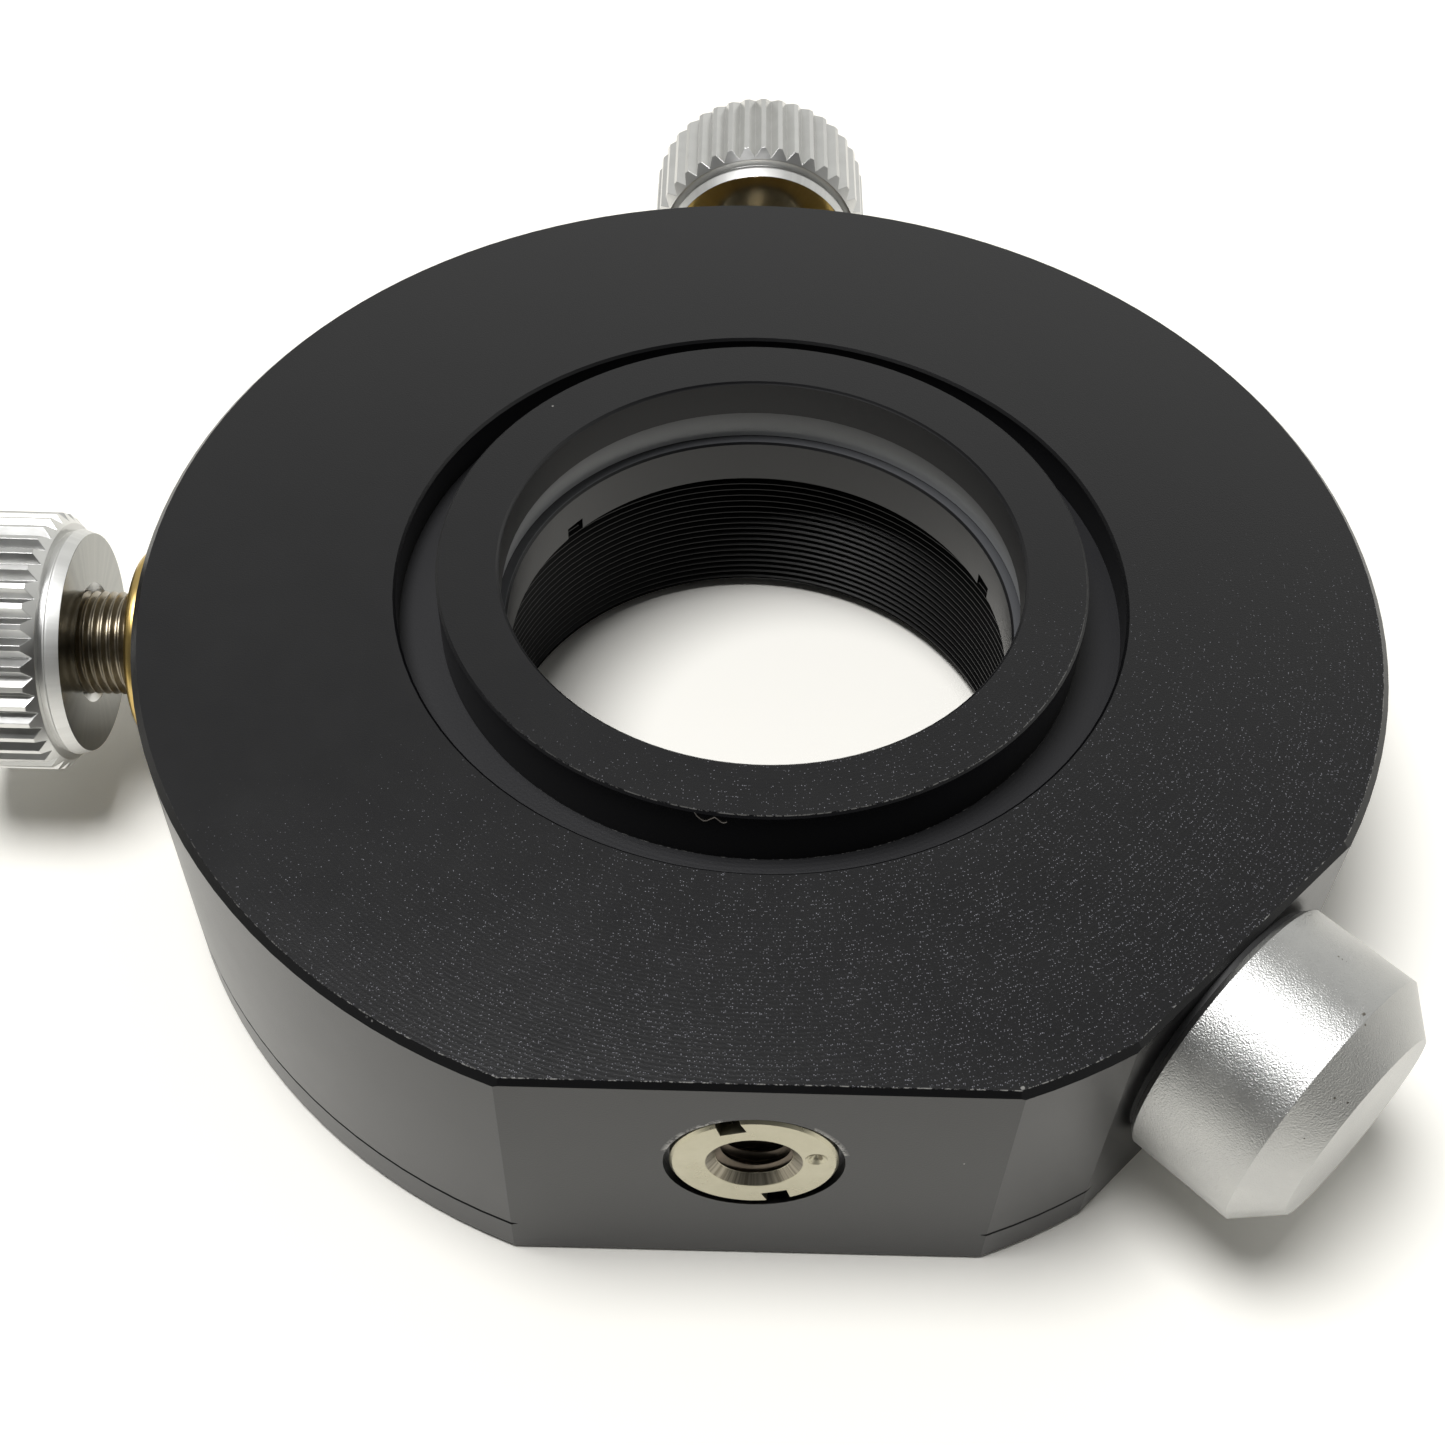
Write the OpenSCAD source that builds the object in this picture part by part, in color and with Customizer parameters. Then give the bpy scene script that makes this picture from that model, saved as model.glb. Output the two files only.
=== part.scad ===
// Two-axis centring lens mount: a lens cell floats in a round housing and is
// set by two knurled screws against a sprung plunger on the diagonal.
// Origin: on the optical axis, in the plane where the lens face seats. +Z is the front.

/* [Housing] */
// Diameter of the housing
body_d = 69; // [62.5:0.5:76]
// Thickness of the housing without its back cover
body_t = 14.5; // [14:0.1:18]
// Thickness of the back cover
cover_t = 2.8; // [2.5:0.1:4]
// Thickness of the front wall over the cell
front_wall = 2.1; // [1.5:0.1:3]
// Diameter of the hole in the front wall
front_hole_d = 40.6; // [39.5:0.1:43]
// Depth of the post flat below the rim
post_flat_cut = 2.2; // [1.6:0.1:2.6]
// Depth of the plunger flat below the rim
plunger_flat_cut = 1.1; // [0.8:0.1:1.5]
// Chamfer round the front rim
rim_chamfer = 0.35; // [0.1:0.05:0.8]
// Chamfer round the back of the cover
cover_chamfer = 0.3; // [0.1:0.05:0.6]
// Chamfer on each side of the seam
seam_chamfer = 0.12; // [0.05:0.01:0.3]

/* [Lens cell] */
// Diameter of the lens
lens_d = 30; // [29.5:0.1:30.4]
// Clear aperture inside the front lip
aperture_d = 29.1; // [25:0.1:29.2]
// Outer diameter of the cell's front ring
front_ring_d = 36; // [34:0.1:37]
// Height of the front ring above the housing's face
front_ring_rise = 1.4; // [0.5:0.1:3]
// Thickness of the front lip
lip_t = 2.4; // [1.5:0.1:3]
// Depth of the plain lens seat behind the lip
seat_depth = 2.25; // [1.5:0.05:3]
// Diameter of the cell inside the housing
cell_d = 49; // [48:0.1:50]
// Distance of the cell's three flats from the optical axis
cell_flat = 23; // [22.5:0.1:23.4]
// Diameter of the cell's rear neck
neck_d = 35; // [34:0.1:37]
// Distance of the rear neck's end in front of the cover's back
neck_recess = 0.4; // [0.2:0.05:1]
// Diameter of the retaining ring's thread
ring_thread_d = 31; // [30.8:0.1:31.4]

/* [Retaining ring] */
// Inner diameter of the retaining ring
ring_bore_d = 28.8; // [27:0.1:29]
// Thickness of the retaining ring
ring_t = 2.95; // [2:0.05:4]
// Number of spanner slots
ring_slots = 3; // [2:1:4]
// Angle of the first spanner slot
ring_slot_angle = 21; // [0:1:119]
// Width of each spanner slot
ring_slot_w = 1.3; // [0.8:0.1:2]
// Depth of each spanner slot
ring_slot_depth = 0.8; // [0.4:0.1:1.5]

/* [Adjusters] */
// Travel of the cell each way from the centre
travel = 1; // [0.5:0.1:1.2]
// Diameter of the adjusting screws
screw_d = 6; // [5:0.1:6.5]
// Diameter of the bush's barrel
bush_d = 9; // [8:0.1:9.4]
// Diameter of the bush's flange
flange_d = 11; // [10:0.1:12]
// Height of the flange above the housing's rim
flange_rise = 1.1; // [0.6:0.1:2]
// Depth of the flange's seat below the housing's rim
flange_seat = 0.5; // [0.5:0.05:1]
// Gap between the housing's rim and the knob
knob_gap = 4.3; // [3.4:0.1:7]
// Diameter of the knob
knob_d = 15; // [13:0.1:17]
// Length of the knob
knob_len = 8.2; // [6:0.1:14]
// Number of teeth of the knurl
knurl_teeth = 40; // [24:1:60]
// Depth of the knurl
knurl_depth = 0.48; // [0.2:0.01:0.6]
// Radial step from the knurl down to the polished face
knob_step = 1.15; // [0.9:0.05:2]
// Width of the bead round the polished face
bead_w = 0.8; // [0.5:0.05:1.2]
// Width of the groove between the bead and the knurl
groove_w = 0.35; // [0.2:0.05:1]
// Diameter of the ball in the screw's tip
ball_d = 3; // [2:0.1:3.5]
// How far the ball stands out of the screw's tip
ball_out = 0.9; // [0.5:0.05:1.2]
// Diameter of the hard pads on the cell
pad_d = 6; // [5:0.1:7]
// Thickness of the hard pads
pad_t = 1.5; // [1:0.1:2]
// How far the pads stand out of the cell's flats
pad_out = 0.2; // [0.1:0.05:0.4]

/* [Spring plunger] */
// Diameter of the spring housing
cap_d = 15; // [13:0.1:16]
// Length of the spring housing outside its washer
cap_len = 8.05; // [6.5:0.05:14]
// Chamfer round the end of the spring housing
cap_chamfer = 2; // [0.5:0.1:2.5]
// Thickness of the end wall of the spring housing
cap_wall = 2; // [1.2:0.1:3]
// Diameter of the threaded stem of the spring housing
stem_d = 10; // [9:0.1:11]
// Thickness of the washer under the spring housing
cap_washer_t = 0.35; // [0.2:0.05:1]
// Diameter of the washer under the spring housing
cap_washer_d = 13.8; // [12:0.1:14.6]
// Diameter of the plunger
plunger_d = 6.5; // [5.5:0.1:7]
// Length of the plunger
plunger_len = 10; // [9:0.1:11]
// Wall round the plunger's spring pocket
plunger_wall = 0.65; // [0.4:0.05:0.8]
// Diameter of the spring's wire
wire_d = 0.6; // [0.4:0.05:0.7]
// Number of open turns of the spring
spring_turns = 7; // [5:1:9]

/* [Post insert] */
// Diameter of the insert
insert_d = 8.1; // [7.5:0.1:8.6]
// Wall left between the insert and the cavity
insert_wall = 0.8; // [0.5:0.1:2]
// Diameter of the seat's mouth
insert_mouth_d = 8.8; // [8.7:0.1:9.6]
// Depth of the insert's face below the post flat
insert_recess = 0.3; // [0.1:0.05:0.5]
// Core diameter of the post thread
post_core_d = 3.3; // [2.5:0.1:4.2]
// Wall left behind the post thread
post_floor = 0.6; // [0.3:0.1:1.5]
// Diameter of the countersink round the post thread
post_sink_d = 4.7; // [4.4:0.1:5.2]
// Width of the insert's two spanner slots
insert_slot_w = 1.2; // [0.8:0.1:1.6]
// Length of the insert's two spanner slots
insert_slot_len = 1.2; // [0.8:0.1:1.4]

/* [Cover screws and washer] */
// Diameter of the cover screws
cover_screw_d = 2.5; // [2:0.1:3]
// Length of the cover screws
cover_screw_len = 6; // [5:0.1:7]
// Diameter of the cover screws' heads
cover_head_d = 4.7; // [4.2:0.1:5.4]
// Thickness of the slide washer
slide_washer_t = 0.4; // [0.2:0.05:0.8]
// Height of the cover's spigot in the cavity
spigot_h = 0.6; // [0.3:0.05:1]

/* [Hidden] */

// Named clearances
slide_gap = 0.05;       // flat faces that slide on each other
thread_gap = 0.05;      // radial, between two threads
fit_gap = 0.02;         // radial, between glued or pressed pieces
lens_gap = 0.05;        // radial, round the lens
contact_gap = 0.03;     // between a ball or dome and what it bears on
wall_gap = 0.3;         // between the cell at full travel and the cavity
cut = 1;                // how far a cutting solid runs past a face

// Distances of the two flats from the optical axis
post_flat = body_d / 2 - post_flat_cut;
plunger_flat = body_d / 2 - plunger_flat_cut;

// Directions of the two flats and three radial axes, in degrees from +X
post_angle = -90;
plunger_angle = -45;
x_angle = 180;
y_angle = 90;
flats = [[post_angle, post_flat], [plunger_angle, plunger_flat]];

// Heights
front_z = lip_t - front_ring_rise;
seam_z = front_z - body_t;
back_z = seam_z - cover_t;
axis_z = seam_z + body_t / 2;
shelf_z = front_z - front_wall;
washer_z = seam_z + spigot_h;
cell_z0 = washer_z + slide_washer_t + slide_gap;
cell_z1 = shelf_z - slide_gap;
neck_z = back_z + neck_recess;
ring_z = -seat_depth - slide_gap;

// Radii
body_r = body_d / 2;
cell_r = cell_d / 2;
full_travel = travel * sqrt(2);
cavity_r = cell_r + full_travel + wall_gap;
cover_hole_r = neck_d / 2 + full_travel + 2 * wall_gap;
seat_r = lens_d / 2 + lens_gap;
thread_r = ring_thread_d / 2;
flat_share = 0.8;       // size of the chamfers along the flats, as a share of the rim's
break_edge = 0.15;      // small chamfer that takes the sharpness off an edge
thread_lead = 0.4;      // chamfer at the mouth of a thread

// Cover screws: places, and the heights of their heads above the back
screw_circle_r = (cavity_r + body_r) / 2;
screw_angles = [22.5, 112.5, 202.5, 292.5];
head_r = cover_head_d / 2;
shaft_r = cover_screw_d / 2;
head_sink = 0.1;
head_rim = head_sink + 0.2;
head_cone = head_r - shaft_r;
head_socket_r = 0.7 * shaft_r;
head_socket_depth = head_rim + 0.7 * head_cone;

// Distances along an adjuster's axis from the optical axis
pad_face = cell_flat + pad_out;
ball_at = pad_face + contact_gap + ball_d / 2;
screw_tip = pad_face + contact_gap + ball_out;
bush_inner = cavity_r + wall_gap;
flange_in = body_r - flange_seat;
flange_out = body_r + flange_rise;
flange_round = 0.45;
knob_face = body_r + knob_gap;
knob_dish = 0.5;        // depth of the shallow dish in the knob's outer end
knob_dish_r = 0.6 * knob_d / 2;
knurl_lead = 0.1;       // how far the knurl's end chamfers reach below its roots
crest_share = 0.26;     // part of each tooth's pitch that its flat crest takes
bead_rise = 0.38;       // how far the bead's slope rises from the polished face's edge
bead_round = 0.12;      // radius of the round that ends the slope
groove_rise = 0.24;     // how far the groove's floor lies outside that edge
relief_rise = 0.5;      // radial width of the relief round the screw in the polished face
relief_depth = 0.4;
screw_end = knob_face + knob_len - knob_dish;
screw_tip_chamfer = 0.5;
socket_af = 2.5;        // hex socket across flats, in a screw's outer end
socket_depth = 2.5;

// Distances along the plunger's axis
stem_inner = cavity_r + wall_gap;
cap_inner = plunger_flat + cap_washer_t;
cap_end = cap_inner + cap_len;
spring_seat = cap_end - cap_wall;
plunger_tip = cell_flat + contact_gap;
plunger_end = plunger_tip + plunger_len;
plunger_r = plunger_d / 2;
nose_wall = 1.5;        // solid length between the plunger's nose and its spring pocket
pocket_r = plunger_r - plunger_wall;
pocket_at = plunger_tip + plunger_r + nose_wall;
guide_r = plunger_r + slide_gap;

// Distances along the insert's axis
insert_face = post_flat - insert_recess;
insert_inner = cavity_r + insert_wall;
mouth_depth = 2 * insert_recess;
insert_slot_depth = 0.8;
insert_slot_angle = 15;
dimple_d = 1;
dimple_at = 3.05;
dimple_angle = 99.5;

$fn = 96;
small_fn = 48;
screw_fn = 24;

// Lays a piece that is built along +Z onto the radial line at the given angle,
// so that its height becomes the distance from the optical axis.
module radial(angle) {
    translate([0, 0, axis_z]) rotate([0, 0, angle]) rotate([0, 90, 0]) children();
}

// Points of an arc, for the rounded edges of turned pieces
function arc(centre, r, from, to, steps = 6) =
    [for (i = [0:steps]) let (a = from + (to - from) * i / steps) centre + r * [cos(a), sin(a)]];

// Disc from the seam to a free face, with chamfered rims. The two flats are milled
// through the seam, so that only the free face has a chamfer along them.
module flatted_disc(free_z, chamfer) {
    out = sign(free_z - seam_z);
    bevel = flat_share * chamfer;
    difference() {
        rotate_extrude()
            polygon([[0, seam_z], [body_r - seam_chamfer, seam_z],
                     [body_r, seam_z + out * seam_chamfer], [body_r, free_z - out * chamfer],
                     [body_r - chamfer, free_z], [0, free_z]]);
        for (flat = flats)
            rotate([0, 0, flat[0]]) rotate([90, 0, 0])
                linear_extrude(height = body_d, center = true)
                    polygon([[flat[1], seam_z - out * cut], [flat[1], free_z - out * bevel],
                             [flat[1] - bevel - cut, free_z + out * cut],
                             [body_r + cut, free_z + out * cut], [body_r + cut, seam_z - out * cut]]);
    }
}

// Cylinder between two distances along an axis
module bar(r, from, to, fn = small_fn) {
    translate([0, 0, from]) cylinder(r = r, h = to - from, $fn = fn);
}

// Housing: one turned block with the cavity, the front hole and four radial bores
module body() {
    color("#232325") difference() {
        flatted_disc(front_z, rim_chamfer);
        bar(cavity_r, seam_z - cut, shelf_z, $fn);
        bar(front_hole_d / 2, shelf_z - cut, front_z + cut, $fn);
        translate([0, 0, front_z - break_edge])
            cylinder(r1 = front_hole_d / 2, r2 = front_hole_d / 2 + break_edge + cut,
                     h = break_edge + cut);
        for (angle = [x_angle, y_angle])
            radial(angle) {
                bar(bush_d / 2 + fit_gap, cavity_r - cut, body_r + cut);
                bar(flange_d / 2 + slide_gap, flange_in, body_r + cut);
            }
        radial(plunger_angle)
            bar(stem_d / 2 + thread_gap, cavity_r - cut, plunger_flat + cut);
        radial(post_angle) {
            bar(insert_d / 2 + fit_gap, insert_inner, post_flat + cut);
            bar(insert_mouth_d / 2, post_flat - mouth_depth, post_flat + cut);
        }
        at_cover_screws()
            bar(shaft_r + fit_gap, seam_z - cut, back_z + cover_screw_len + cut, screw_fn);
    }
}

module at_cover_screws() {
    for (angle = screw_angles)
        rotate([0, 0, angle]) translate([screw_circle_r, 0, 0]) children();
}

// Back cover: plate with a spigot that centres it in the cavity
module back_cover() {
    color("#2a2a2c") difference() {
        union() {
            flatted_disc(back_z, cover_chamfer);
            bar(cavity_r - slide_gap, seam_z - cut, washer_z, $fn);
        }
        bar(cover_hole_r, back_z - cut, washer_z + cut, $fn);
        at_cover_screws() {
            bar(shaft_r + fit_gap, back_z - cut, washer_z + cut, screw_fn);
            bar(head_r + fit_gap, back_z - cut, back_z + head_rim, screw_fn);
            translate([0, 0, back_z + head_rim])
                cylinder(r1 = head_r + fit_gap, r2 = shaft_r + fit_gap, h = head_cone, $fn = screw_fn);
        }
    }
}

// Four identical countersunk screws with hex sockets
module cover_screws() {
    color("#3a3a3c") at_cover_screws() difference() {
        union() {
            bar(head_r, back_z + head_sink, back_z + head_rim, screw_fn);
            translate([0, 0, back_z + head_rim])
                cylinder(r1 = head_r, r2 = shaft_r, h = head_cone, $fn = screw_fn);
            bar(shaft_r, back_z + head_rim, back_z + cover_screw_len, screw_fn);
        }
        bar(head_socket_r, back_z - cut, back_z + head_socket_depth, 6);
    }
}

// Thin washer that the cell slides on
module slide_washer() {
    color("#b9a97a") difference() {
        bar(cell_r - full_travel, washer_z, washer_z + slide_washer_t, $fn);
        bar(cover_hole_r + wall_gap, washer_z - cut, washer_z + slide_washer_t + cut, $fn);
    }
}

// Cuts one flat on the side of the cell
module cell_flat_cut(angle) {
    radial(angle)
        translate([-body_t, -cell_r, cell_flat]) cube([2 * body_t, cell_d, cell_r]);
}

// Lens cell: lip, lens seat and thread inside; front ring, flange and rear neck outside
module lens_cell() {
    front_r = front_ring_d / 2;
    neck_r = neck_d / 2;
    lip_r = aperture_d / 2;
    color("#262628") difference() {
        rotate_extrude()
            polygon([[thread_r + thread_lead, neck_z], [neck_r - break_edge, neck_z],
                     [neck_r, neck_z + break_edge], [neck_r, cell_z0],
                     [cell_r, cell_z0], [cell_r, cell_z1],
                     [front_r, cell_z1], [front_r, lip_t - break_edge],
                     [front_r - break_edge, lip_t], [lip_r + break_edge, lip_t],
                     [lip_r, lip_t - break_edge], [lip_r, 0],
                     [seat_r, 0], [seat_r, -seat_depth],
                     [thread_r, -seat_depth], [thread_r, neck_z + thread_lead]]);
        for (angle = [x_angle, y_angle, plunger_angle]) cell_flat_cut(angle);
        for (angle = [x_angle, y_angle])
            radial(angle) bar(pad_d / 2 + fit_gap, pad_face - pad_t, cell_r);
    }
}

// Hard pad that a ball bears on
module pad(angle) {
    color("#c9c9cc") radial(angle) bar(pad_d / 2, pad_face - pad_t, pad_face);
}

// Retaining ring: screws in behind the lens, slots face the back
module retaining_ring() {
    outer = thread_r - thread_gap;
    low = ring_z - ring_t;
    color("#2b2b2d") difference() {
        rotate_extrude()
            polygon([[ring_bore_d / 2, low], [outer - break_edge, low], [outer, low + break_edge],
                     [outer, ring_z - break_edge], [outer - break_edge, ring_z],
                     [ring_bore_d / 2 + break_edge, ring_z], [ring_bore_d / 2, ring_z - break_edge]]);
        for (i = [0:ring_slots - 1])
            rotate([0, 0, ring_slot_angle + i * 360 / ring_slots])
                translate([ring_bore_d / 2 - cut, -ring_slot_w / 2, low - cut])
                    cube([outer, ring_slot_w, ring_slot_depth + cut]);
    }
}

// Threaded bush with a rounded flange
module bush(angle) {
    inner_r = screw_d / 2 + thread_gap;
    flange_r = flange_d / 2;
    round_at = [flange_r - flange_round, flange_out - flange_round];
    color("#c8a24a") radial(angle)
        rotate_extrude($fn = small_fn)
            polygon(concat([[inner_r, bush_inner], [bush_d / 2, bush_inner],
                            [bush_d / 2, flange_in], [flange_r, flange_in]],
                           arc(round_at, flange_round, 0, 90),
                           [[inner_r + thread_lead, flange_out], [inner_r, flange_out - thread_lead]]));
}

// Fine-thread screw with a ball pocket in its tip and a hex socket in its end
module screw(angle) {
    r = screw_d / 2;
    color("#8d8a82") radial(angle) difference() {
        rotate_extrude($fn = small_fn)
            polygon([[0, screw_tip], [r - screw_tip_chamfer, screw_tip],
                     [r, screw_tip + screw_tip_chamfer], [r, screw_end - break_edge],
                     [r - break_edge, screw_end], [0, screw_end]]);
        bar(ball_d / 2 + contact_gap, screw_tip - cut, ball_at + ball_d / 2 + contact_gap);
        bar(socket_af / sqrt(3), screw_end - socket_depth, screw_end + cut, 6);
    }
}

// Ball held in the tip of a screw
module ball(angle) {
    color("#d8d8da") radial(angle) translate([0, 0, ball_at]) sphere(d = ball_d, $fn = small_fn);
}

// Outline of a straight knurl: V grooves between narrow flat crests
module knurl_outline() {
    step = 360 / knurl_teeth;
    outer = knob_d / 2;
    polygon([for (i = [0:knurl_teeth - 1], k = [-1, 1, 2])
        let (a = i * step + (k == 2 ? step / 2 : k * step * crest_share / 2),
             r = k == 2 ? outer - knurl_depth : outer)
        [r * cos(a), r * sin(a)]]);
}

// Knob: polished face, a sloping bead, a narrow groove, then the knurled barrel
module knob(angle) {
    outer = knob_d / 2;
    face_r = outer - knob_step;
    groove_r = face_r + groove_rise;
    bead_across = [bead_rise - bead_round, bead_w - bead_round];
    bead_at = [face_r, 0] + bead_across;
    bead_from = atan2(bead_across[1], bead_across[0]) - 90 - asin(bead_round / norm(bead_across));
    grip_from = bead_w + groove_w;
    grip_chamfer = knurl_depth + knurl_lead;
    grip_r = outer - grip_chamfer;
    color("#c6c6c8") radial(angle) translate([0, 0, knob_face]) difference() {
        union() {
            rotate_extrude($fn = small_fn)
                polygon(concat([[0, 0], [face_r, 0]],
                               arc(bead_at, bead_round, bead_from, 90),
                               [[groove_r, bead_w], [groove_r, grip_from + cut], [0, grip_from + cut]]));
            intersection() {
                translate([0, 0, grip_from])
                    linear_extrude(height = knob_len - grip_from) knurl_outline();
                rotate_extrude($fn = small_fn)
                    polygon([[0, grip_from], [grip_r, grip_from], [outer, grip_from + grip_chamfer],
                             [outer, knob_len - grip_chamfer], [grip_r, knob_len], [0, knob_len]]);
            }
        }
        bar(screw_d / 2 + fit_gap, -cut, knob_len + cut);
        translate([0, 0, -cut])
            cylinder(r1 = screw_d / 2 + relief_rise * (relief_depth + cut) / relief_depth,
                     r2 = screw_d / 2, h = relief_depth + cut, $fn = small_fn);
        bar(knob_dish_r, knob_len - knob_dish, knob_len + cut);
    }
}

// Cap that holds the spring, screwed into the plunger flat
module spring_housing() {
    outer = cap_d / 2;
    stem_r = stem_d / 2;
    color("#b9babb") radial(plunger_angle) difference() {
        rotate_extrude($fn = small_fn)
            polygon([[0, stem_inner], [stem_r - break_edge, stem_inner],
                     [stem_r, stem_inner + break_edge], [stem_r, cap_inner],
                     [outer - 2 * break_edge, cap_inner], [outer, cap_inner + 2 * break_edge],
                     [outer, cap_end - cap_chamfer], [outer - cap_chamfer, cap_end], [0, cap_end]]);
        bar(guide_r, stem_inner - cut, spring_seat);
    }
}

// Washer between the spring housing and the flat
module cap_washer() {
    color("#151515") radial(plunger_angle) difference() {
        bar(cap_washer_d / 2, plunger_flat, cap_inner);
        bar(stem_d / 2 + thread_gap, plunger_flat - cut, cap_inner + cut);
    }
}

// Hollow plunger with a round nose
module plunger() {
    color("#b08d45") radial(plunger_angle) difference() {
        union() {
            translate([0, 0, plunger_tip + plunger_r]) sphere(r = plunger_r, $fn = small_fn);
            bar(plunger_r, plunger_tip + plunger_r, plunger_end);
        }
        bar(pocket_r, pocket_at, plunger_end + cut);
    }
}

// Path of the spring's wire: one closed turn at each end, open turns between
wire_steps = 16;
wire_sides = 6;
wire_r = wire_d / 2;
coil_gap = 0.15;        // radial, between the spring and the plunger's pocket
coil_r = pocket_r - coil_gap - wire_r;
coil_low = pocket_at + wire_r + contact_gap;
coil_high = spring_seat - wire_r - contact_gap;
closed_rise = wire_d + contact_gap;
open_rise = (coil_high - coil_low - 2 * closed_rise) / spring_turns;
all_turns = spring_turns + 2;
function coil_height(turn) =
    turn < 1 ? coil_low + turn * closed_rise
    : turn > all_turns - 1 ? coil_high - (all_turns - turn) * closed_rise
    : coil_low + closed_rise + (turn - 1) * open_rise;

// Compression spring, swept as one tube
module plunger_spring() {
    rings = all_turns * wire_steps;
    points = [for (i = [0:rings], k = [0:wire_sides - 1])
        let (turn = i / wire_steps, a = turn * 360, b = k * 360 / wire_sides,
             r = coil_r + wire_r * cos(b))
        [r * cos(a), r * sin(a), coil_height(turn) + wire_r * sin(b)]];
    sides = [for (i = [0:rings - 1], k = [0:wire_sides - 1])
        let (next = (k + 1) % wire_sides, low = i * wire_sides, high = low + wire_sides)
        [low + k, high + k, high + next, low + next]];
    ends = [[for (k = [0:wire_sides - 1]) k],
            [for (k = [wire_sides - 1:-1:0]) rings * wire_sides + k]];
    color("#9a9a9a") radial(plunger_angle) polyhedron(points, concat(sides, ends), convexity = 10);
}

// Insert with the post thread, two spanner slots and a centre-punched dimple
module post_insert() {
    r = insert_d / 2;
    sink = (post_sink_d - post_core_d) / 2;
    color("#bdb8ad") radial(post_angle) difference() {
        rotate_extrude($fn = small_fn)
            polygon([[0, insert_inner], [r, insert_inner], [r, insert_face - break_edge],
                     [r - break_edge, insert_face], [0, insert_face]]);
        bar(post_core_d / 2, insert_inner + post_floor, insert_face + cut);
        translate([0, 0, insert_face - sink])
            cylinder(r1 = post_core_d / 2, r2 = post_sink_d / 2 + cut, h = sink + cut, $fn = small_fn);
        for (turn = [0, 180])
            rotate([0, 0, turn + insert_slot_angle])
                translate([r - insert_slot_len, -insert_slot_w / 2, insert_face - insert_slot_depth])
                    cube([insert_slot_len + cut, insert_slot_w, insert_slot_depth + cut]);
        rotate([0, 0, dimple_angle]) translate([dimple_at, 0, insert_face - dimple_d / 2])
            cylinder(r1 = 0, r2 = dimple_d, h = dimple_d, $fn = screw_fn);
    }
}

body();
back_cover();
cover_screws();
slide_washer();
lens_cell();
pad(x_angle);  // x_pad
pad(y_angle);  // y_pad
retaining_ring();
bush(x_angle);  // x_bush
screw(x_angle);  // x_screw
ball(x_angle);  // x_ball
knob(x_angle);  // x_knob
bush(y_angle);  // y_bush
screw(y_angle);  // y_screw
ball(y_angle);  // y_ball
knob(y_angle);  // y_knob
spring_housing();
cap_washer();
plunger();
plunger_spring();
post_insert();
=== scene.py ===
import math

import bmesh
import bpy
from mathutils import Matrix, Vector


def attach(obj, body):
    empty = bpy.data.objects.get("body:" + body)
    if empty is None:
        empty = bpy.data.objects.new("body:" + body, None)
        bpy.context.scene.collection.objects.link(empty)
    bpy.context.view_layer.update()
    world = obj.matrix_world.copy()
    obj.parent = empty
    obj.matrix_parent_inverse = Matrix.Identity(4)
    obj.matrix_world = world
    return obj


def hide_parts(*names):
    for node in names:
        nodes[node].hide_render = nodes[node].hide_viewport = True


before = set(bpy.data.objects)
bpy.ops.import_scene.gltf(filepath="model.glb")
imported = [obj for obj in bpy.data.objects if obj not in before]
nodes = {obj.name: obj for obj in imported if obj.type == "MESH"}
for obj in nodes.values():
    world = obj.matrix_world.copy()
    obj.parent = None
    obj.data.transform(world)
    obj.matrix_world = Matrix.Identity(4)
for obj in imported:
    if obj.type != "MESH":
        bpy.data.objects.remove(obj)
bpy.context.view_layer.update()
mm = 0.001
print("frame loaded:", len(nodes), "nodes")


# Camera, floor and light

camera = {
    "place": (-2.770, -75.515, 79.334),     # mm
    "right": (0.9996195, 0.01579542, 0.02261342),
    "up": (-0.02657817, 0.77088715, 0.63641701),
    "lens": 48.43,
    "sensor": 36,
}
studio = {
    "tableHeight": -16.3,
    "tableSize": 3000,
    "tableColour": "f6f4ee",
    "tableSeen": 1.25,          # how much lighter the eye and the metals see it, shadows in proportion
    "lampDirection": (-0.21, -0.03, 0.98),
    "lampDistance": 600,        # mm, as the lamp's and the table's sizes
    "lampSize": 280,
    "lampPower": 3.2,           # W
    "skyColour": (1.0, 1.0, 0.97, 1.0),
    "roomLight": 0.85,          # towards the back of the room
    "roomDark": 0.18,           # towards the front and left
    "darkSide": (-0.45, -0.89, 0.0),
    "darkTurn": (-0.8, 0.2),            # cosines of the angle to the dark side, from light to dark
    "viewer": (-0.05, -0.75, 0.66),     # where somebody leans over the table
    "viewerTurn": (0.75, 0.95),         # cosines again, from the edge of that shadow to its core
    "viewerShare": 0.3,                 # how much of the room's light is left there
    "ceilingRise": (0.55, 0.9),         # sines of the height, from the wall's light to the ceiling's
    "ceilingShare": 0.35,               # how much is left straight overhead
}


def linearColour(hexText):
    parts = [int(hexText[i:i + 2], 16) / 255 for i in (0, 2, 4)]
    return [p / 12.92 if p <= 0.04045 else ((p + 0.055) / 1.055) ** 2.4 for p in parts] + [1.0]


def addNode(tree, kind, inputs=(), **settings):
    # one node with its settings and inputs, which are given in order or by name
    node = tree.nodes.new("ShaderNode" + kind)
    for key, value in settings.items():
        setattr(node, key, value)
    sockets = [s for s in node.inputs if s.enabled]
    for key, value in inputs.items() if isinstance(inputs, dict) else enumerate(inputs):
        socket = sockets[key] if isinstance(key, int) else next(s for s in sockets if s.name == key)
        if isinstance(value, bpy.types.Node):
            value = next(s for s in value.outputs if s.enabled)
        if isinstance(value, bpy.types.NodeSocket):
            tree.links.new(value, socket)
        else:
            socket.default_value = value
    return node


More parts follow.
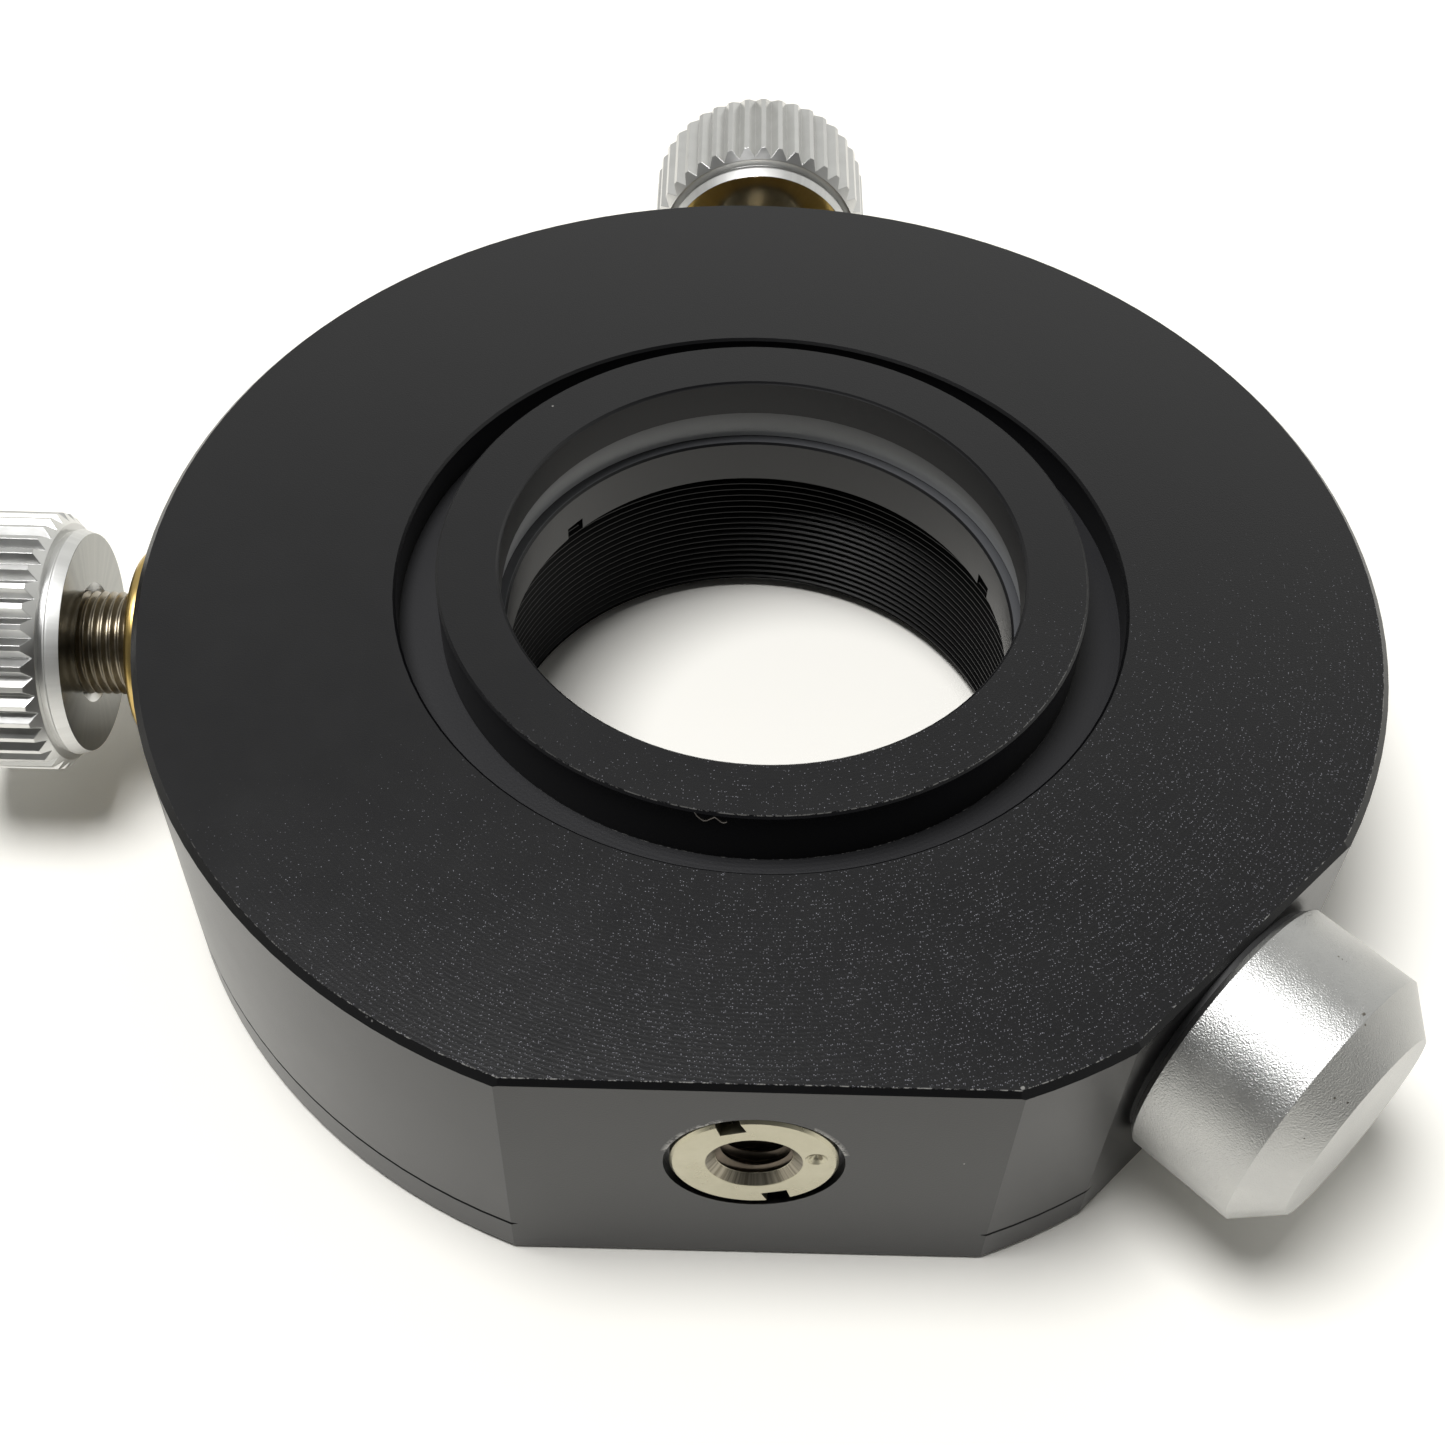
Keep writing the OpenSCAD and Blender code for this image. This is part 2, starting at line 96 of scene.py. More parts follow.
def combine(tree, operation, *values, **settings):
    # a sum, product or comparison of numbers
    return addNode(tree, "Math", values, operation=operation, **settings)


def ramp(tree, value, start, end, low=0.0, high=1.0, **settings):
    # low up to the start, high from the end on, and an even rise between them
    return addNode(tree, "MapRange", [value, start, end, low, high], **settings)


def blend(tree, share, first, second, kind="RGBA"):
    return addNode(tree, "Mix", [share, first, second], data_type=kind)


def placeCamera():
    data = bpy.data.cameras.new("camera")
    data.lens = camera["lens"]
    data.sensor_width = camera["sensor"]
    data.clip_start = mm
    holder = bpy.data.objects.new("camera", data)
    bpy.context.scene.collection.objects.link(holder)
    right, up = Vector(camera["right"]), Vector(camera["up"])
    turn = Matrix((right, up, right.cross(up))).transposed().to_4x4()
    holder.matrix_world = Matrix.Translation(Vector(camera["place"]) * mm) @ turn
    bpy.context.scene.camera = holder


def layTable():
    bm = bmesh.new()
    bmesh.ops.create_grid(bm, x_segments=2, y_segments=2, size=studio["tableSize"] * mm / 2)
    bmesh.ops.translate(bm, vec=(0, 0, studio["tableHeight"] * mm), verts=bm.verts)
    mesh = bpy.data.meshes.new("table")
    bm.to_mesh(mesh)
    bm.free()
    table = bpy.data.objects.new("table", mesh)
    bpy.context.scene.collection.objects.link(table)
    # white laminate: to the eye an even white that only shadows darken
    material = bpy.data.materials.new("white laminate table")
    material.use_nodes = True
    tree = material.node_tree
    tree.nodes.clear()
    path = addNode(tree, "LightPath")
    seen = combine(tree, "ADD", path.outputs["Is Camera Ray"], path.outputs["Is Glossy Ray"])
    seen = combine(tree, "ADD", seen, path.outputs["Is Transmission Ray"], use_clamp=True)
    plain = linearColour(studio["tableColour"])
    bright = [c * studio["tableSeen"] for c in plain[:3]] + [1.0]
    colour = blend(tree, seen, plain, bright)
    shader = addNode(tree, "BsdfDiffuse", {"Color": colour})
    addNode(tree, "OutputMaterial", {"Surface": shader})
    mesh.materials.append(material)


def hangLamp():
    data = bpy.data.lights.new("softbox", "AREA")
    data.shape = "DISK"
    data.size = studio["lampSize"] * mm
    data.energy = studio["lampPower"]
    lamp = bpy.data.objects.new("softbox", data)
    bpy.context.scene.collection.objects.link(lamp)
    direction = Vector(studio["lampDirection"]).normalized()
    place = direction * studio["lampDistance"] * mm
    lamp.matrix_world = Matrix.Translation(place) @ direction.to_track_quat("Z", "Y").to_matrix().to_4x4()


def paintSky():
    world = bpy.data.worlds.new("soft room")
    bpy.context.scene.world = world
    world.use_nodes = True
    tree = world.node_tree
    tree.nodes.clear()
    direction = addNode(tree, "TexCoord").outputs["Generated"]
    height = addNode(tree, "SeparateXYZ", [direction]).outputs["Z"]
    ceiling = ramp(tree, height, *studio["ceilingRise"], 1.0, studio["ceilingShare"],
                   interpolation_type="SMOOTHSTEP")
    facing = addNode(tree, "VectorMath", [direction, Vector(studio["darkSide"]).normalized()],
                     operation="DOT_PRODUCT")
    room = ramp(tree, facing, *studio["darkTurn"], studio["roomLight"], studio["roomDark"])
    level = combine(tree, "MULTIPLY", room, ceiling)
    viewer = addNode(tree, "VectorMath", [direction, Vector(studio["viewer"]).normalized()],
                     operation="DOT_PRODUCT")
    shade = ramp(tree, viewer, *studio["viewerTurn"], 1.0, studio["viewerShare"])
    level = combine(tree, "MULTIPLY", level, shade)
    ground = addNode(tree, "Background", [studio["skyColour"], level])
    addNode(tree, "OutputWorld", {"Surface": ground})


placeCamera()
layTable()
hangLamp()
paintSky()
bpy.context.scene.view_settings.view_transform = "Standard"
print("camera, table and light placed")


# Shared by the finishes

noiseRange = (0.3, 0.7)     # nearly all values of a noise lie between these
sharpAngle = 30             # degrees; a steeper edge isn't smoothed


def noise(tree, position, size, detail=2.0, roughness=0.6):
    # the size of its blotches in mm
    return addNode(tree, "TexNoise", [position, 1 / (size * mm), detail, roughness])


def turnedPlace(tree, centre, axis):
    # position on a piece that was turned round an axis: height along it, radius and angle round it
    turn = Vector(axis).to_track_quat("Z", "Y").to_euler()
    seen = addNode(tree, "TexCoord")
    local = addNode(tree, "Mapping", {"Vector": seen.outputs["Object"], "Location": Vector(centre) * mm,
                                      "Rotation": turn}, vector_type="TEXTURE")
    split = addNode(tree, "SeparateXYZ", [local])
    flat = addNode(tree, "CombineXYZ", [split.outputs["X"], split.outputs["Y"]])
    radius = addNode(tree, "VectorMath", [flat], operation="LENGTH")
    return {"object": seen.outputs["Object"], "vector": local, "height": split.outputs["Z"], "radius": radius,
            "across": split.outputs["X"], "along": split.outputs["Y"]}


def startMaterial(name, centre=(0, 0, 0), axis=(0, 0, 1)):
    material = bpy.data.materials.new(name)
    material.use_nodes = True
    tree = material.node_tree
    tree.nodes.clear()
    return material, tree, turnedPlace(tree, centre, axis)


def endMaterial(tree, inputs):
    shader = addNode(tree, "BsdfPrincipled", inputs)
    addNode(tree, "OutputMaterial", {"Surface": shader})


def largest(tree, masks):
    whole = masks[0]
    for mask in masks[1:]:
        whole = combine(tree, "MAXIMUM", whole, mask)
    return whole


def inBand(tree, value, low, high):
    # 1 where a length lies between two others, in mm
    return combine(tree, "COMPARE", value, (low + high) / 2 * mm, (high - low) / 2 * mm)


def inZone(tree, place, heights, radii):
    # 1 in a ring-shaped zone round the piece's axis
    masks = [inBand(tree, place["height"], *heights), inBand(tree, place["radius"], *radii)]
    return combine(tree, "MULTIPLY", *masks)


def edgeLine(tree, across, height, at, width):
    # 1 on an edge, given by its distance from an axis or plane and its height; it fades over its width
    here = addNode(tree, "CombineXYZ", [across, height])
    far = addNode(tree, "VectorMath", [here, (at[0] * mm, at[1] * mm, 0)], operation="DISTANCE")
    core = 0.25 * width
    return ramp(tree, far, core * mm, width * mm, 1.0, 0.0)


def smallMark(tree, position, ragged, at, radius):
    # 1 in a small spot round a point; its outline wanders and its edge is soft
    far = addNode(tree, "VectorMath", [position, Vector(at) * mm], operation="DISTANCE")
    least, most, edge = 0.5 * radius * mm, 1.4 * radius * mm, 0.4 * radius * mm
    reach = ramp(tree, ragged, *noiseRange, least, most)
    inside = combine(tree, "SUBTRACT", reach, far)
    return ramp(tree, inside, 0.0, edge)


def coat(node, material):
    nodes[node].material_slots[0].material = material


def finishPiece(bm, name, materials, body, replaced=()):
    bmesh.ops.recalc_face_normals(bm, faces=bm.faces)
    mesh = bpy.data.meshes.new(name)
    bm.to_mesh(mesh)
    bm.free()
    for material in materials:
        mesh.materials.append(material)
    mesh.shade_smooth()
    mesh.set_sharp_from_angle(angle=math.radians(sharpAngle))
    piece = bpy.data.objects.new(name, mesh)
    bpy.context.scene.collection.objects.link(piece)
    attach(piece, body)
    if replaced:
        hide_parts(*replaced)
    return piece


# Housing and cover: aluminium, fine bead blasting, black anodising, then turned and milled edges.
# To the eye: a deep black whose blasted face is soft and cloudy, with tiny painted glints on single
# grains in faint rings towards the front; the walls are satin and the chamfers near black, with edges
# painted bright in dashes towards the front, partly wear and partly painted highlight.

blackFinish = {
    "colour": "0b0b0e",
    "ior": 1.5,
    "blasted": 0.3,             # roughness of the blasted faces and of the turned walls
    "turned": 0.3,
    "cloudSize": 3,             # sizes and depths in mm
    "cloudShare": 0.015,        # how far the roughness strays
    "faceDepth": 0.02,          # either side of a blasted face's height
    "grainSize": 0.1,
    "grainDepth": 0.008,
    "wallGrain": 0.6,           # the share of that depth on turned walls
    "ringStep": 0.25,           # faint turning rings under the blasting
    "ringDepth": 0.0012,
    "rowWave": (-0.6, 0.9),     # painted glints crowd on the rings, from this least share
    "rowLeast": 0.15,
    "glintSize": 0.08,
    "glintShare": 0.42,
    "glintEdge": (0.2, 0.42),
    "glintColour": "85858c",
    "frontSide": (0.34, -0.94, 0),
    "frontReach": (4, 26),      # rings, painted glints and the worn edges with their painted highlight grow towards that side, from none to all
    "wornAndHighlitColour": "9c9b98",
    "wornAndHighlitMetal": 0.5,
    "wornAndHighlitWidth": 0.04,
    "dashSize": 0.28,           # length of the worn dashes along an edge
    "dashFrom": (0.6, 0.68),    # noise above which an edge is painted worn and highlit, and how far a share lowers it
    "dashGain": 0.2,
}


def paintedGlintSpots(tree, place, look, waves, ringed):
    # 1 on single grains painted bright as painted glints, which crowd on the turning rings
    rows = ramp(tree, waves, *look["rowWave"], look["rowLeast"])
    share = combine(tree, "MULTIPLY", ringed, rows)
    cells = addNode(tree, "TexVoronoi", [place["object"], 1 / (look["glintSize"] * mm)])
    chance = addNode(tree, "SeparateColor", [cells.outputs["Color"]]).outputs[0]
    chance = combine(tree, "MULTIPLY_ADD", share, look["glintShare"], chance)
    picked = ramp(tree, chance, 1.0, 1.12)      # only a grain whose chance passes 1 gets a painted glint
    near = ramp(tree, cells.outputs["Distance"], *look["glintEdge"], 1.0, 0.0)
    return combine(tree, "MULTIPLY", picked, near)


def wornAndHighlitLine(tree, place, look, dashes, front, across, at, share):
    # 1 on the dashes of one edge painted bright, partly as wear and partly as painted highlight; the larger
    # the share, the more of it is painted
    source = place["radius"]
    if across != "radius":
        source = addNode(tree, "VectorMath", [place["object"], across], operation="DOT_PRODUCT")
    line = edgeLine(tree, source, place["height"], at, look["wornAndHighlitWidth"])
    dashed = ramp(tree, dashes, *[level - look["dashGain"] * share for level in look["dashFrom"]])
    line = combine(tree, "MULTIPLY", line, dashed)
    return combine(tree, "MULTIPLY", line, front)


def rubRound(tree, place, dashes, ring):
    # a ragged rub outside the upper edge of a hole, but not at its very top
    far = addNode(tree, "VectorMath", [place["object"], Vector(ring["centre"]) * mm], operation="DISTANCE")
    start, end = ring["radius"] + ring["gap"], ring["radius"] + ring["width"]
    past = ramp(tree, far, start * mm, end * mm, 1.0, 0.0)
    upper = combine(tree, "GREATER_THAN", place["height"], ring["above"] * mm)
    side = addNode(tree, "VectorMath", [place["object"], (1, 0, 0)], operation="DOT_PRODUCT")
    upper = combine(tree, "SUBTRACT", upper, inBand(tree, side, *ring["bare"]), use_clamp=True)
    ragged = ramp(tree, dashes, *ring["ragged"])
    return combine(tree, "MULTIPLY", combine(tree, "MULTIPLY", past, upper), ragged)


def blackAnodising(name, blastedFaces=(), zones=(), edges=(), marks=(), rubbedRing=None, look=blackFinish):
    # blasted faces: height, and the radius they start at; zones: heights, radii, roughness, and the
    # shades at foot and top; edges: the radius or side they lie at, place and height, and how much of
    # each is painted worn and highlit; marks: place and radius
    material, tree, place = startMaterial(name)
    toward = addNode(tree, "VectorMath", [place["object"], look["frontSide"]], operation="DOT_PRODUCT")
    front = ramp(tree, toward, *[reach * mm for reach in look["frontReach"]])
    clouds = noise(tree, place["object"], look["cloudSize"], 3.0)
    grain = noise(tree, place["object"], look["grainSize"])
    dashes = noise(tree, place["object"], look["dashSize"], 3.0, 0.7)
    stray = look["cloudShare"] / 2
    roughness = ramp(tree, clouds, *noiseRange, look["turned"] - stray, look["turned"] + stray)
    colour = linearColour(look["colour"])
    strength = look["wallGrain"]
    normal = {}
    if blastedFaces:
        faces = []
        for height, radius in blastedFaces:
            level = inBand(tree, place["height"], height - look["faceDepth"], height + look["faceDepth"])
            wide = combine(tree, "GREATER_THAN", place["radius"], radius * mm)
            faces.append(combine(tree, "MULTIPLY", level, wide))
        blasted = largest(tree, faces)
        cloudy = ramp(tree, clouds, *noiseRange, look["blasted"] - 2 * stray, look["blasted"] + 2 * stray)
        roughness = blend(tree, blasted, roughness, cloudy, kind="FLOAT")
        strength = ramp(tree, blasted, 0.0, 1.0, strength, 1.0)
        waves = combine(tree, "MULTIPLY", place["radius"], 2 * math.pi / (look["ringStep"] * mm))
        waves = combine(tree, "SINE", waves)
        ringed = combine(tree, "MULTIPLY", front, blasted)
        normal = {"Normal": addNode(tree, "Bump", {"Height": waves, "Distance": look["ringDepth"] * mm,
                                                   "Strength": ringed})}
        # painted glints: single grains painted bright towards the front, where the light would catch them
        paintedGlints = paintedGlintSpots(tree, place, look, waves, ringed)
        colour = blend(tree, paintedGlints, colour, linearColour(look["glintColour"]))
    for heights, radii, level, shades in zones:
        zone = inZone(tree, place, heights, radii)
        roughness = blend(tree, zone, roughness, level, kind="FLOAT")
        rise = ramp(tree, place["height"], heights[0] * mm, heights[1] * mm)
        shade = blend(tree, rise, *[linearColour(text) for text in shades])
        colour = blend(tree, zone, colour, shade)
    # edges painted bright in dashes towards the front, partly wear and partly painted highlight of their
    # rounding
    rubbedAndHighlit = [wornAndHighlitLine(tree, place, look, dashes, front, *edge) for edge in edges]
    rubbedAndHighlit += [smallMark(tree, place["object"], dashes, at, radius) for at, radius in marks]
    if rubbedRing:
        rubbedAndHighlit.append(rubRound(tree, place, dashes, rubbedRing))
    inputs = {}
    if rubbedAndHighlit:
        wornAndHighlit = largest(tree, rubbedAndHighlit)
        colour = blend(tree, wornAndHighlit, colour, linearColour(look["wornAndHighlitColour"]))
        inputs["Metallic"] = combine(tree, "MULTIPLY", wornAndHighlit, look["wornAndHighlitMetal"])
    relief = {"Height": grain, "Distance": look["grainDepth"] * mm, "Strength": strength} | normal
    inputs |= {"Base Color": colour, "Roughness": roughness, "IOR": look["ior"]}
    endMaterial(tree, inputs | {"Normal": addNode(tree, "Bump", relief)})
    return material


diagonal = (math.sqrt(0.5), -math.sqrt(0.5), 0)     # the way the spring housing points
postward = (0, -1, 0)                               # the way the post hole opens
# rubbed just outside the post hole's rim, above a height, and not between two sides
mouthRub = {"centre": (0, -32.3, -6.25), "radius": 4.4, "gap": 0.06, "width": 0.28, "above": -5.2,
            "bare": (-1.6, 2.7), "ragged": (0.4, 0.52)}
bodyBlack = blackAnodising(
    "black anodised aluminium, housing", [(1.0, 20.2)],
    zones=[((0.66, 0.98), (20.8, 40), 0.33, ("060608", "060608")),
           ((-1.2, 0.98), (20.0, 20.6), 0.3, ("060608", "060608"))],
    # the rim's and the flats' edges: painted bright dashes, partly wear and partly painted highlight
    edges=[("radius", (34.15, 1.0), 0.45), (postward, (32.02, 1.0), 0.5), (diagonal, (33.12, 1.0), 0.3)],
    marks=[((11.95, -31.87, 1.0), 0.12), ((-18.2, -29.05, 1.0), 0.13), ((-17.95, -29.2, 1.0), 0.13),
           ((10.06, -32.3, -5.74), 0.06)], rubbedRing=mouthRub)
coat("body", bodyBlack)
coat("back_cover", blackAnodising("black anodised aluminium, cover", [(-16.3, 18.0)]))
print("housing and cover finished")


# Threads

def onlyVerts(geometry):
    return [v for v in geometry if isinstance(v, bmesh.types.BMVert)]


def onlyEdges(geometry):
    return [e for e in geometry if isinstance(e, bmesh.types.BMEdge)]


def onRadius(v, radius, gap=0.02):
    # whether a point lies this close to a radius, in mm
    return abs(v.co.xy.length / mm - radius) < gap


def spinThread(bm, crest, root, pitch, fromHeight, toHeight, steps, phase=0.0):
    # one tooth's outline (radius, and height as a share of the pitch) is spun through a turn as it
    # rises by the pitch, repeated, and cut off at both ends
    turns = math.ceil((toHeight - fromHeight) / pitch) + 2
    start = fromHeight - (1.5 + phase) * pitch
    outline = [(root, 0.0), (root, 0.08), (crest, 0.44), (crest, 0.56), (root, 0.92), (root, 1.0)]
    coil = bmesh.new()
    verts = [coil.verts.new((r * mm, 0, (start + share * pitch) * mm)) for r, share in outline]
    edges = [coil.edges.new(pair) for pair in zip(verts, verts[1:])]
    bmesh.ops.spin(coil, geom=verts + edges, cent=(0, 0, 0), axis=(0, 0, 1),
                   dvec=(0, 0, pitch * mm / steps), angle=2 * math.pi, steps=steps)
    made = 1
    while made < turns:
        copied = bmesh.ops.duplicate(coil, geom=coil.verts[:] + coil.edges[:] + coil.faces[:])["geom"]
        bmesh.ops.translate(coil, vec=(0, 0, made * pitch * mm), verts=onlyVerts(copied))
        made *= 2
    bmesh.ops.remove_doubles(coil, verts=coil.verts, dist=0.002 * mm)
    for height, side in ((fromHeight, -1), (toHeight, 1)):
        bmesh.ops.bisect_plane(coil, geom=coil.verts[:] + coil.edges[:] + coil.faces[:],
                               plane_co=(0, 0, height * mm), plane_no=(0, 0, side), clear_outer=True)
    mesh = bpy.data.meshes.new("coil")
    coil.to_mesh(mesh)
    coil.free()
    bm.from_mesh(mesh)
    bpy.data.meshes.remove(mesh)


def cadCopy(name):
    plain = nodes[name].data.copy()
    plain.attributes.remove(plain.attributes["custom_normal"])   # the new shape gets its own
    bm = bmesh.new()
    bm.from_mesh(plain)
    bpy.data.meshes.remove(plain)
    bmesh.ops.remove_doubles(bm, verts=bm.verts, dist=0.001 * mm)
    return bm


def cutThread(bm, thread, materialIndex):
    # swaps a plain round wall for the thread that is cut in it, and may open its upper end to a mouth
    bm.normal_update()

    margin = 0.1        # mm beyond the wall's ends

    def onWall(v):
        between = thread["from"] - margin < v.co.z / mm < thread["to"] + margin
        return between and onRadius(v, thread["wall"])

    upright = [f for f in bm.faces if abs(f.normal.z) < 0.5]
    wall = [f for f in upright if all(onWall(v) for v in f.verts)]
    bmesh.ops.delete(bm, geom=wall, context="FACES")
    middle = (thread["from"] + thread["to"]) / 2 * mm
    if "mouth" in thread:
        for v in {v for e in bm.edges if e.is_boundary for v in e.verts if v.co.z > middle}:
            v.co.xy *= thread["mouth"] / thread["wall"]
            v.co.z = (thread["to"] + thread["mouthRise"]) * mm
    kept = set(bm.faces)
    spinThread(bm, thread["crest"], thread["root"], thread["pitch"], thread["from"] + thread["lead"],
               thread["to"] - thread["lead"], thread["steps"], thread.get("phase", 0.0))
    for low in (True, False):
        loops = [e for e in bm.edges if e.is_boundary
                 and ((e.verts[0].co.z + e.verts[1].co.z) / 2 < middle) == low]
        bmesh.ops.bridge_loops(bm, edges=loops)
    for face in bm.faces:
        if face not in kept:
            face.material_index = materialIndex


def standAlong(axis, centre):
    # from upright, at the origin, to a radial line of the housing
    return Matrix.Translation(Vector(centre) * mm) @ Vector(axis).to_track_quat("Z", "Y").to_matrix().to_4x4()


axisCentre = (0, 0, -6.25)      # where the screws', the cap's and the insert's axes meet


# Lens cell and retaining ring: turned aluminium, black anodising.
# To the eye: black like the housing, with a lens seat painted as a soft grey band, palest at its
# foot and darker towards the lip above it as painted shade; a thread that stays almost black but for
# one glint; and a rim line and a line at the ring's foot painted bright towards the front, partly
# wear and partly painted highlight.

# wall: the solid's plain radius; lead: the plain length left at both ends; steps: facets in a turn
cellThread = {"wall": 15.5, "crest": 15.5, "root": 15.77, "pitch": 0.5, "from": -15.5, "to": -2.25,
              "lead": 0.08, "steps": 96}
ringThread = {"wall": 15.45, "crest": 15.45, "root": 15.2, "pitch": 0.5, "from": -5.1, "to": -2.45,
              "lead": 0.05, "steps": 96}

cellBlack = blackAnodising(
    "black anodised aluminium, lens cell", [(2.4, 14.6), (-1.15, 18.02)],
    # the lens seat: a grey band painted palest at its foot and darker towards the lip, painted shade under
    # the lip
    zones=[((-2.24, -0.05), (14.9, 15.2), 0.34, ("c0c2c4", "404244")),
           ((-2.8, -2.24), (14.52, 15.4), 0.4, ("525356", "525356")),
           ((0.0, 2.3), (14.5, 14.65), 0.5, ("0b0b0e", "0b0b0e")),
           ((-1.2, -1.1), (18.0, 20.3), 0.55, ("121216", "121216"))],
    # the ring's top rim and the line at its foot: painted bright towards the front, partly wear and partly
    # painted highlight
    edges=[("radius", (17.87, 2.38), 0.75), ("radius", (18.0, -1.13), 0.4)],
    marks=[((-12.44, 11.94, 2.4), 0.07)])
threadBlack = blackAnodising("black anodised aluminium, cut thread",
                             look=blackFinish | {"colour": "040405", "ior": 1.33, "turned": 0.3})
bm = cadCopy("lens_cell")
cutThread(bm, cellThread, 1)
finishPiece(bm, "lensCellThreaded", [cellBlack, threadBlack], "cell", ["lens_cell"])
bm = cadCopy("retaining_ring")
cutThread(bm, ringThread, 1)
finishPiece(bm, "retainingRingThreaded", [cellBlack, threadBlack], "ring", ["retaining_ring"])
print("lens cell and ring threaded")


# Bare and plated metals

softEdge = 0.04             # how far an edge is rounded off to the eye, in mm
streaksPerRadian = 9.0


def acrossMarks(tree, place, centre, axis):
    # fine turning marks run round the axis, so light spreads across them
    offset = addNode(tree, "VectorMath", [place["object"], Vector(centre) * mm], operation="SUBTRACT")
    around = addNode(tree, "VectorMath", [axis, offset], operation="CROSS_PRODUCT")
    around = addNode(tree, "VectorTransform", [around], vector_type="VECTOR", convert_from="OBJECT",
                     convert_to="WORLD")
    normal = addNode(tree, "NewGeometry").outputs["Normal"]
    return addNode(tree, "VectorMath", [normal, around], operation="CROSS_PRODUCT")


def dressMetal(name, finish):
    # deep and pale: the film's two tones; smooth and rough: its two roughnesses; patch: the size of its
    # clouds; grain and depth: size and depth of the surface's grain, all in mm; zones: heights, radii,
    # roughness and two shades; lay: how strong the turning marks are
    centre, axis = finish.get("centre", (0, 0, 0)), finish.get("axis", (0, 0, 1))
    material, tree, place = startMaterial(name, centre, axis)
    film = noise(tree, place["vector"], finish["patch"], 3.0)
    spread = ramp(tree, film, *noiseRange)
    colour = blend(tree, spread, linearColour(finish["deep"]), linearColour(finish["pale"]))
    roughness = ramp(tree, film, *noiseRange, finish["smooth"], finish["rough"])
    strength = 1.0
    for heights, radii, level, shades in finish.get("zones", ()):
        zone = inZone(tree, place, heights, radii)
        roughness = blend(tree, zone, roughness, level, kind="FLOAT")
        bare = combine(tree, "SUBTRACT", 1.0, zone)
        strength = combine(tree, "MULTIPLY", strength, bare)
        # streaks between the zone's two shades that run out from the axis, like a countersink's marks; in the
        # countersink they are painted glints
        angle = combine(tree, "ARCTAN2", place["along"], place["across"])
        streaks = addNode(tree, "TexNoise", {"W": angle, "Scale": streaksPerRadian, "Detail": 3.0},
                          noise_dimensions="1D")
        share = ramp(tree, streaks, 0.4, 0.6)
        shade = blend(tree, share, *[linearColour(text) for text in shades])
        colour = blend(tree, zone, colour, shade)
    # spots painted darker: dirt specks on the cap, painted shade in the insert's dimple
    if finish.get("dirtAndShade"):
        ragged = noise(tree, place["vector"], 0.3, 2.0, 0.5)
        spots = [smallMark(tree, place["object"], ragged, at, radius) for at, radius in finish["dirtAndShade"]]
        colour = blend(tree, largest(tree, spots), colour, linearColour(finish["dirtAndShadeColour"]))
    soft = addNode(tree, "Bevel", {"Radius": finish.get("edge", softEdge) * mm}, samples=4)
    grain = noise(tree, place["vector"], finish["grain"])
    bump = addNode(tree, "Bump", {"Height": grain, "Distance": finish["depth"] * mm, "Strength": strength,
                                  "Normal": soft})
    inputs = {"Base Color": colour, "Roughness": roughness, "Metallic": finish.get("metallic", 1.0),
              "Normal": bump}
    if "lay" in finish:
        inputs |= {"Anisotropic": finish["lay"], "Tangent": acrossMarks(tree, place, centre, axis)}
    endMaterial(tree, inputs)
    return material


# Adjusting screws: steel with a rolled fine thread.
# To the eye: dark olive grey, a tint painted in as reflection of the brass and the dark housing, with
# one narrow bright line along the crests.

screwSteel = dressMetal("screw steel with painted olive reflection", {
    "deep": "8a8272", "pale": "a69e8e", "smooth": 0.28, "rough": 0.34, "patch": 0.7, "grain": 0.12,
    "depth": 0.001})
# pocket: the hole for the ball at the tip; socket: the hexagon at the outer end, across its flats
screwShape = {"crest": 3.0, "root": 2.69, "pitch": 0.5, "tip": 24.13, "end": 46.5, "lead": 0.35,
              "steps": 48, "chamfer": 0.1, "pocket": 1.53, "pocketDepth": 2.1, "pocketSides": 24,
              "socket": 2.5, "socketDepth": 2.5}


def makeScrew(name, axis, body, node):
    shape = screwShape
    bm = bmesh.new()
    spinThread(bm, shape["crest"], shape["root"], shape["pitch"], shape["tip"] + shape["lead"],
               shape["end"] - shape["lead"], shape["steps"])
    middle = (shape["tip"] + shape["end"]) / 2 * mm
    corner = shape["socket"] / math.sqrt(3)
    pocket = (shape["tip"], shape["pocket"], shape["pocketSides"], shape["pocketDepth"])
    socket = (shape["end"], corner, 6, -shape["socketDepth"])
    for end, hole, sides, depth in (pocket, socket):
        foot = Vector((0, 0, end * mm))
        loop = [e for e in bm.edges if e.is_boundary and (e.verts[0].co.z < middle) == (end == shape["tip"])]
        made = bmesh.ops.extrude_edge_only(bm, edges=loop)["geom"]
        for v in onlyVerts(made):
            v.co = Vector((v.co.x, v.co.y, 0)).normalized() * (shape["root"] - shape["chamfer"]) * mm + foot
        mouth = bmesh.ops.create_circle(bm, segments=sides, radius=hole * mm,
                                        matrix=Matrix.Translation(foot))["verts"]
        mouthEdges = list({e for v in mouth for e in v.link_edges})
        bmesh.ops.bridge_loops(bm, edges=onlyEdges(made) + mouthEdges)
        sunk = bmesh.ops.extrude_edge_only(bm, edges=mouthEdges)["geom"]
        bmesh.ops.translate(bm, vec=(0, 0, depth * mm), verts=onlyVerts(sunk))
        bmesh.ops.contextual_create(bm, geom=onlyEdges(sunk))
    bmesh.ops.transform(bm, matrix=standAlong(axis, axisCentre), verts=bm.verts)
    finishPiece(bm, name, [screwSteel], body, [node])


makeScrew("xScrewThreaded", (-1, 0, 0), "x_adjuster", "x_screw")
makeScrew("yScrewThreaded", (0, 1, 0), "y_adjuster", "y_screw")
print("adjusting screws threaded")


